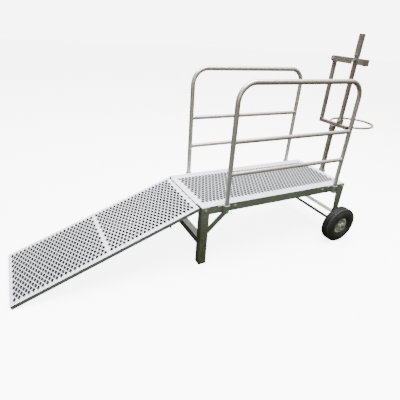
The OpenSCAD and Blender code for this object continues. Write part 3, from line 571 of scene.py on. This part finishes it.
end_rails = [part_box(name) for name in ("front_end_rail", "rear_end_rail")]
under_deck = [(low.x, high.x) for low, high in end_rails]
low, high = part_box("deck_bearers")
middle_bearer = (low.x + high.x) / 2 - BEARER / 2
under_deck += [(x, x + BEARER) for x in (low.x, middle_bearer, high.x - BEARER)]
deck_outlines = free_outlines(deck_openings, under_deck)
ramp_outlines = free_outlines(lower_field + upper_field, [TOE_BAR, CENTRE_BAR, HINGE_LEAF])
print("outlines under the deck:", len(deck_outlines), "under the ramp:", len(ramp_outlines))

# %% Lips under the sheets
LIP_DEPTH = 0.012
LIP_WALL = 0.0008
LIP_TAPER = 0.66
LIP_EDGE = 30
HINGE_HEIGHT = 0.4055
RAMP_SLOPE = 20.0452
RAMP_UNDERSIDE = -0.003
# Near black all over: painted shade for the inside of the openings.
lip_wall_shade_zinc = galvanised(
    "drawn_lip_in_painted_shade", "#3A3C3D", "#323435", "#323433", "#2A2C28",
    shine=(0.7, 0.85), metal=0.0, chalky=0.0, gleam=0.1)


def lips(name, outlines, underside, body, spot=Matrix()):
    """Funnels under the openings of a level sheet, then set in place by a matrix."""
    a, b = OPENING_HALF
    thicker = 1 + LIP_WALL * math.hypot(a, b) / (a * b)
    inner = [(1.0, 0.0), (LIP_TAPER, -LIP_DEPTH)]
    section = inner + [(share * thicker, z) for share, z in reversed(inner)]
    count = len(section)
    points, faces = [], []
    for outline in outlines:
        first, sides = len(points), len(outline)
        rim = [Vector((x, y, underside)) for x, y in outline]
        middle = sum(rim, Vector()) / sides
        for corner in rim:
            for share, z in section:
                points.append(spot @ (middle + (corner - middle) * share + Vector((0, 0, z))))
        for k in range(sides):
            faces += band(first + k * count, first + (k + 1) % sides * count, count)
    piece = link_piece(name, points, faces, lip_wall_shade_zinc, body, LIP_EDGE)
    # Only the inner wall of each lip takes the near-black painted shade; the rest takes the angle's
    # zinc.
    piece.data.materials.append(angle_zinc)
    for face in piece.data.polygons:
        face.material_index = 0 if face.index % count == 0 else 1
    return piece


hinge = Matrix.Translation((deck_low.x - HINGE_TO_SHEET, 0, HINGE_HEIGHT))
slope = hinge @ Matrix.Rotation(math.radians(-RAMP_SLOPE), 4, "Y")
deck_lips = lips("deck_opening_lips", deck_outlines, deck_low.z, "stand")
ramp_lips = lips("ramp_opening_lips", ramp_outlines, RAMP_UNDERSIDE, "ramp", slope)
print("lips:", [(piece.name, len(piece.data.polygons)) for piece in (deck_lips, ramp_lips)])

# %% [markdown]
# ## Painted shade round the openings
# Where the sheet turns down into a lip, its rounded edge lies in shade. A dark band of painted
# shade round each opening stands in for it, and seen from a few steps away it makes the openings
# look larger than they are. The shade could be painted into each lip's rim, but that rim lies in
# the sheet itself. Instead the sheet's finish gets a pattern with the same pitch: the way to the
# nearest opening is folded into one cell, measured so that it is 1 on the opening's edge, and
# fades the painted shade out from there.
# The lower and the upper field of the ramp are one pattern that repeats beyond the plain strip.
# The deck has one field only, so its pattern repeats after more than the deck's length.

# %% Sheets with painted shade round the openings
DECK_SHADE_REACH = 0.66
RAMP_SHADE_REACH = 0.50
EDGE_SHADE = "#3A3C3A"
DECK_REPEAT = 2.0
FAR = 9.0


def measure(tree, operation, *vectors):
    """A calculation with one, two or three vectors."""
    feeds = dict(zip(("Vector", "Vector_001", "Vector_002"), vectors))
    return add(tree, "ShaderNodeVectorMath", feeds, operation=operation)


def calculate(tree, operation, first, second):
    """A calculation with two numbers."""
    return add(tree, "ShaderNodeMath", {"Value": first, "Value_001": second}, operation=operation)


def sheet_with_painted_shade(name, places, shade_reach, repeat, spot=Matrix()):
    """The sheet's finish with painted shade round the openings of a field, repeated along x."""
    a, b = OPENING_HALF
    in_openings = (1 / a, 1 / b, 0.0)
    half_cell = Vector((OPENING_PITCH / 2, OPENING_RISE / 2, 1.0))
    start = Vector((*places[0], 0.0))
    reach = Vector((max(x for x, y in places), max(y for x, y in places), 0.0)) - start
    spare = (repeat - reach.x) / 2
    finish = sheet_zinc.copy()
    finish.name = name
    tree = finish.node_tree
    metal_shader = next(n for n in tree.nodes if n.type == "BSDF_PRINCIPLED")
    clean = metal_shader.inputs["Base Color"].links[0].from_node

    place = add(tree, "ShaderNodeTexCoord", {})
    flat = add(tree, "ShaderNodeMapping", {
        "Vector": (place, "Object"), "Location": spot @ start, "Rotation": spot.to_euler()},
        vector_type="TEXTURE")
    most, least = (repeat - spare, FAR, FAR), (-spare, -FAR, -FAR)
    field = measure(tree, "WRAP", (flat, "Vector"), most, least)
    after = measure(tree, "MAXIMUM", (field, "Vector"), (0.0, 0.0, 0.0))
    inside = measure(tree, "MINIMUM", (after, "Vector"), reach)
    beyond = measure(tree, "SUBTRACT", (field, "Vector"), (inside, "Vector"))
    margin = measure(tree, "ABSOLUTE", (beyond, "Vector"))
    cell = measure(tree, "WRAP", (inside, "Vector"), half_cell, -half_cell)
    folded = measure(tree, "ABSOLUTE", (cell, "Vector"))
    own = measure(tree, "DOT_PRODUCT", (folded, "Vector"), in_openings)
    next_row = calculate(tree, "SUBTRACT", half_cell.x / a + half_cell.y / b, (own, "Value"))
    nearest = calculate(tree, "MINIMUM", (own, "Value"), (next_row, "Value"))
    outside = measure(tree, "DOT_PRODUCT", (margin, "Vector"), in_openings)
    away = calculate(tree, "ADD", (nearest, "Value"), (outside, "Value"))
    # Painted shade: a dark band that fades out from each opening's edge.
    shade_fade = fade(tree, (away, "Value"), (1.0 + shade_reach, 1.0))
    edge_shaded = blend(tree, (shade_fade, "Result"), (clean, "Result_Color"), linear(EDGE_SHADE))
    tree.links.new(find(edge_shaded.outputs, "Result_Color"), metal_shader.inputs["Base Color"])
    return finish


deck_with_painted_shade = sheet_with_painted_shade("deck_sheet_with_painted_shade", deck_openings, DECK_SHADE_REACH, DECK_REPEAT)
ramp_with_painted_shade = sheet_with_painted_shade("ramp_sheet_with_painted_shade", lower_field, RAMP_SHADE_REACH, panel + RAMP_STRIP, slope)
dress("deck_plate", deck_with_painted_shade)
dress("ramp_plate", ramp_with_painted_shade)
print("worn sheets:", [(m.name, len(m.node_tree.nodes)) for m in (deck_with_painted_shade, ramp_with_painted_shade)])

# %% [markdown]
# ## Weld beads
# Where two pieces of steel meet, the real stand has a fillet of weld metal, laid in small
# overlapping drops and then galvanised over. Solids that only touch look like toys, so a bead is
# drawn along each joint line: a thin tube swept along the line, whose radius swells and shrinks
# every 4 mm like the drops. Half of it is buried in the corner. A bend modifier or a curve with
# a bevel could sweep it too, but neither gives the ripples. Where a round bar meets a round post
# the line is a saddle: a circle round the bar, pushed back to the post's skin.

# %% Bead tool
DROP_MM = 4.0
DROP_SWELL = (1.0, 0.82, 0.92)
BEAD_SIDES = 8
BEAD_TIP = 0.5
BEAD_EDGE = 60
STEEP = 0.9
SADDLE_STEPS = 48
THIN_BEAD, BEAD, THICK_BEAD = 0.0020, 0.0022, 0.0024


class Beads:
    """Collects the beads of one body and makes them one piece."""

    def __init__(self):
        self.points, self.faces, self.count = [], [], 0

    def run(self, corners, size, closed=False):
        """Adds a bead along straight lines from corner to corner."""
        line = list(corners) + ([corners[0]] if closed else [])
        path = []
        for a, b in zip(line, line[1:]):
            steps = max(2, round((b - a).length * 1000 / DROP_MM * len(DROP_SWELL)))
            path += [a.lerp(b, k / steps) for k in range(steps)]
        if not closed:
            path.append(line[-1])
        first, total = len(self.points), len(path)
        for k, centre in enumerate(path):
            before = path[k - 1] if k or closed else centre
            after = path[(k + 1) % total] if k + 1 < total or closed else centre
            ahead = (after - before).normalized()
            lean = Vector((0, 0, 1)) if abs(ahead.z) < STEEP else Vector((1, 0, 0))
            out = ahead.cross(lean).normalized()
            up = out.cross(ahead)
            r = size * DROP_SWELL[k % len(DROP_SWELL)]
            if not closed and k in (0, total - 1):
                r *= BEAD_TIP
            for i in range(BEAD_SIDES):
                a = 2 * math.pi * i / BEAD_SIDES
                self.points.append(centre + out * (r * math.cos(a)) + up * (r * math.sin(a)))
        rings = [first + k * BEAD_SIDES for k in range(total)]
        for here, there in zip(rings, rings[1:] + (rings[:1] if closed else [])):
            self.faces += band(here, there, BEAD_SIDES)
        if not closed:
            self.faces += [tuple(range(end, end + BEAD_SIDES)) for end in (rings[0], rings[-1])]
        self.count += 1

    def upright(self, x, y, low_z, high_z, size):
        """Adds a bead along an upright line."""
        self.run([Vector((x, y, low_z)), Vector((x, y, high_z))], size)

    def saddle(self, post, post_radius, bar_radius, way, size):
        """Adds a bead round a bar along x (way = 1 or -1) that ends on an upright post."""
        ring = []
        for k in range(SADDLE_STEPS):
            a = 2 * math.pi * k / SADDLE_STEPS
            y, z = bar_radius * math.cos(a), bar_radius * math.sin(a)
            ring.append(post + Vector((way * math.sqrt(post_radius ** 2 - y ** 2), y, z)))
        self.run(ring, size, closed=True)

    def make(self, name, finish, body):
        """Links the piece that the beads have become."""
        return link_piece(name, self.points, self.faces, finish, body, BEAD_EDGE)


print("steps in a drop of", DROP_MM, "mm:", len(DROP_SWELL))

# %% Weld beads on the side rails
made = []
for side in ("right", "left"):
    beads = Beads()
    hoop_low, hoop_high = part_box(side + "_rail_hoop")
    tube = (hoop_high.y - hoop_low.y) / 2
    for bar in ("_rail_mid_bar", "_rail_low_bar"):
        low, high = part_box(side + bar)
        middle = (low + high) / 2
        for x, way in ((hoop_low.x + tube, 1), (hoop_high.x - tube, -1)):
            post = Vector((x, middle.y, middle.z))
            beads.saddle(post, tube, (high.z - low.z) / 2, way, THICK_BEAD)
    made.append(beads.make(side + "_rail_weld_beads", tube_zinc, side + "_rail"))
print("beads:", [(m.name, len(m.data.polygons)) for m in made])

# %% Weld beads on the frame
CROSS_THICK = 0.004
END_RAIL_THICK = 0.005
SLEEVE_HALF = 0.0163
SLEEVE_ENDS = (0.003, 0.002)
MAST_PLATE = 0.006
PLATE_SEAM = (0.040, 0.004)
LEG_HALF = 0.025
BRACE_FOOT = 0.217
BRACE_WIDTH = 0.034
BRACE_RISE = 0.1355
BRACE_REACH = 0.141
stand_beads = Beads()
low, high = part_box("front_cross_member")
web, flange = low.x + CROSS_THICK, high.z - CROSS_THICK
for y in (low.y, high.y):
    for corners in ([(low.x, high.z), (high.x, high.z)],
                    [(web, low.z), (web, flange), (high.x, flange)]):
        stand_beads.run([Vector((x, y, z)) for x, z in corners], BEAD)
for (low, high), way in zip(end_rails, (1, -1)):
    x = low.x + END_RAIL_THICK if way > 0 else high.x - END_RAIL_THICK
    for y in (low.y, high.y):
        stand_beads.upright(x, y, low.z, high.z - END_RAIL_THICK, BEAD)
low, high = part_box("mast_socket")
sleeve_foot, sleeve_top = low.z + SLEEVE_ENDS[0], deck_high.z - SLEEVE_ENDS[1]
for y in (-SLEEVE_HALF, SLEEVE_HALF):
    stand_beads.upright(low.x + MAST_PLATE, y, sleeve_foot, sleeve_top, THICK_BEAD)
for y in (low.y, high.y):
    stand_beads.upright(low.x, y, deck_low.z - PLATE_SEAM[0], deck_low.z - PLATE_SEAM[1], BEAD)
leg_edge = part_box("right_front_leg")[1].x
brace_slope = math.atan2(BRACE_RISE, BRACE_REACH)
half_seam = BRACE_WIDTH / 2 / math.cos(brace_slope)
crossing = BRACE_FOOT + LEG_HALF * math.tan(brace_slope)
for y in (deck_low.y, deck_high.y):
    stand_beads.upright(leg_edge, y, crossing - half_seam, crossing + half_seam, THICK_BEAD)
stand_beads.make("stand_weld_beads", angle_zinc, "stand")
print("beads on the frame:", stand_beads.count)

# %% Weld beads on the ramp and the head gate
TOP_BAR = (-0.0275, -0.0095)
LEAF_UNDERSIDE = -0.005
RAMP_BAR_FOOT = -0.023
RAMP_SIDE_THICK = 0.005
SEAM_ROOM = 0.001
CROSSBAR_HEIGHT = 0.765
HALF_CROSS = 0.0115
TONGUE_HALF = 0.020
TONGUE_SEAM = 0.003
ramp_beads = Beads()
for (near, far), underside in (
        (TOE_BAR, RAMP_UNDERSIDE), (CENTRE_BAR, RAMP_UNDERSIDE), (TOP_BAR, LEAF_UNDERSIDE)):
    top = underside - SEAM_ROOM
    corners = [(near, top), (far, top), (far, RAMP_BAR_FOOT), (near, RAMP_BAR_FOOT)]
    for y in (ramp_low.y + RAMP_SIDE_THICK, ramp_high.y - RAMP_SIDE_THICK):
        ramp_beads.run([slope @ Vector((x, y, z)) for x, z in corners], THIN_BEAD, closed=True)
ramp_beads.make("ramp_weld_beads", ramp_zinc, "ramp")

gate_beads = Beads()
low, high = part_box("mast")
mast_x = (low.x + high.x) / 2
foot = CROSSBAR_HEIGHT - HALF_CROSS
square = [(-1, -1), (1, -1), (1, 1), (-1, 1)]
corners = [Vector((mast_x + sx * HALF_CROSS, sy * SLEEVE_HALF, foot)) for sx, sy in square]
gate_beads.run(corners, BEAD, closed=True)
low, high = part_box("feed_ring")
tongue_x, tongue_z = mast_x + HALF_CROSS, (low.z + high.z) / 2
for z in (tongue_z - TONGUE_SEAM, tongue_z + TONGUE_SEAM):
    gate_beads.run([Vector((tongue_x, y, z)) for y in (-TONGUE_HALF, TONGUE_HALF)], THIN_BEAD)
gate_beads.make("head_gate_weld_beads", gate_zinc, "head_gate")
print("beads:", ramp_beads.count, "on the ramp,", gate_beads.count, "on the head gate")

# %% [markdown]
# ## The studio
# The picture stands on plain white, but the metal in it mirrors what was really around it: a
# bright sky above and dark turf below. That is what makes the sheets glare while the legs, the
# undersides of the tubes and the tyres stay dark and a little green. A white floor would throw
# its light up into all of them. So the floor has two paints: the camera sees a plain pale one
# with a soft shadow on it, and every other ray meets a dull green. The Light Path node tells the
# two apart. The world does the same: white where the camera looks past the floor, and a weaker
# light for the metal. Two large area lights stand in for softboxes, a strong one overhead for
# the sky and a weak one on the camera's side.

# %% Floor
FLOOR_SIZE = 40.0
FLOOR_DROP = 0.0005
FLOOR_GLOW = 6.0
MOTTLE_SCALE = 1.5
floor_paint, tree = new_finish("matt_white_floor_paint")
place = add(tree, "ShaderNodeTexCoord", {})
mottle = add(tree, "ShaderNodeTexNoise", {
    "Vector": (place, "Object"), "Scale": MOTTLE_SCALE, "Detail": 3.0})
colour = blend(tree, (mottle, "Fac"), linear("#F4F4F3"), linear("#F8F8F8"))
paint = add(tree, "ShaderNodeBsdfPrincipled", {
    "Base Color": (colour, "Result_Color"), "Roughness": 0.9, "Emission Color": linear("#FFFFFF"),
    "Emission Strength": FLOOR_GLOW})
turf = add(tree, "ShaderNodeBsdfDiffuse", {"Color": linear("#41472B")})
ray = add(tree, "ShaderNodeLightPath", {})
both = add(tree, "ShaderNodeMixShader", {
    "Fac": (ray, "Is Camera Ray"), "Shader": (turf, "BSDF"), "Shader_001": (paint, "BSDF")})
add(tree, "ShaderNodeOutputMaterial", {"Surface": (both, "Shader")})

half = FLOOR_SIZE / 2
floor_mesh = bpy.data.meshes.new("floor")
floor_mesh.from_pydata([(x * half, y * half, 0) for x, y in square], [], [(0, 1, 2, 3)])
floor_mesh.materials.append(floor_paint)
floor = bpy.data.objects.new("floor", floor_mesh)
floor.location.z = -FLOOR_DROP
bpy.context.scene.collection.objects.link(floor)
print("floor:", FLOOR_SIZE, "m wide,", len(tree.nodes), "nodes in its paint")

# %% World and lights
ROOM_LIGHT = 0.6
WHITE_WALL = 7.0
world = bpy.data.worlds.new("white_studio")
world.use_nodes = True
tree = world.node_tree
tree.nodes.clear()
ray = add(tree, "ShaderNodeLightPath", {})
white = linear("#FFFFFF")
room = add(tree, "ShaderNodeBackground", {"Color": white, "Strength": ROOM_LIGHT})
wall = add(tree, "ShaderNodeBackground", {"Color": white, "Strength": WHITE_WALL})
seen = add(tree, "ShaderNodeMixShader", {
    "Fac": (ray, "Is Camera Ray"), "Shader": (room, "Background"),
    "Shader_001": (wall, "Background")})
add(tree, "ShaderNodeOutputWorld", {"Surface": (seen, "Shader")})
bpy.context.scene.world = world


def softbox(name, place, aim, size, watts):
    """A large lamp that looks from its place to its aim."""
    lamp = bpy.data.lights.new(name, "AREA")
    lamp.shape = "RECTANGLE"
    lamp.size, lamp.size_y = size
    lamp.energy = watts
    box = bpy.data.objects.new(name, lamp)
    box.location = place
    box.rotation_euler = (Vector(aim) - Vector(place)).to_track_quat("-Z", "Y").to_euler()
    bpy.context.scene.collection.objects.link(box)


softbox("overhead_softbox", place=(0.2, -0.3, 4.2), aim=(0.1, 0.0, 0.4),
        size=(4.0, 3.0), watts=850)
softbox("camera_side_softbox", place=(-2.6, -3.4, 2.2), aim=(0.1, 0.0, 0.5),
        size=(2.0, 1.6), watts=90)
